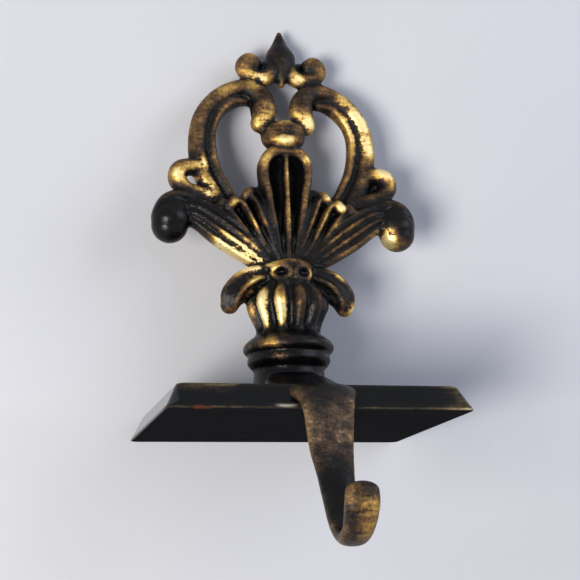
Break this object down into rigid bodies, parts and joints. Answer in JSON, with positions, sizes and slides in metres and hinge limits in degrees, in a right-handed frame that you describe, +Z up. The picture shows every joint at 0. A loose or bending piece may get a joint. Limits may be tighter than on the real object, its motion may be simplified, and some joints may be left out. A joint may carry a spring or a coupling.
{
  "type": "mantel stocking hook",
  "caption": "Cast stocking hook for a shelf edge: bevelled foot plate, round stem with open scroll and leaf ornament, and an arm with an upturned hook in front.",
  "frame": {"origin": "the middle of the foot plate's flat underside, where it rests on the shelf", "axes": "+Z up along the stem, +Y to the back of the shelf, the hook hangs at -Y below the underside, X across the plate"},
  "size_m": [0.1098, 0.1287, 0.2077],
  "materials": {
    "casting": "black-brown antique finish with gold rubbed on the high parts"
  },
  "bodies": {
    "root": {"casting": "casting"}
  },
  "joints": []
}
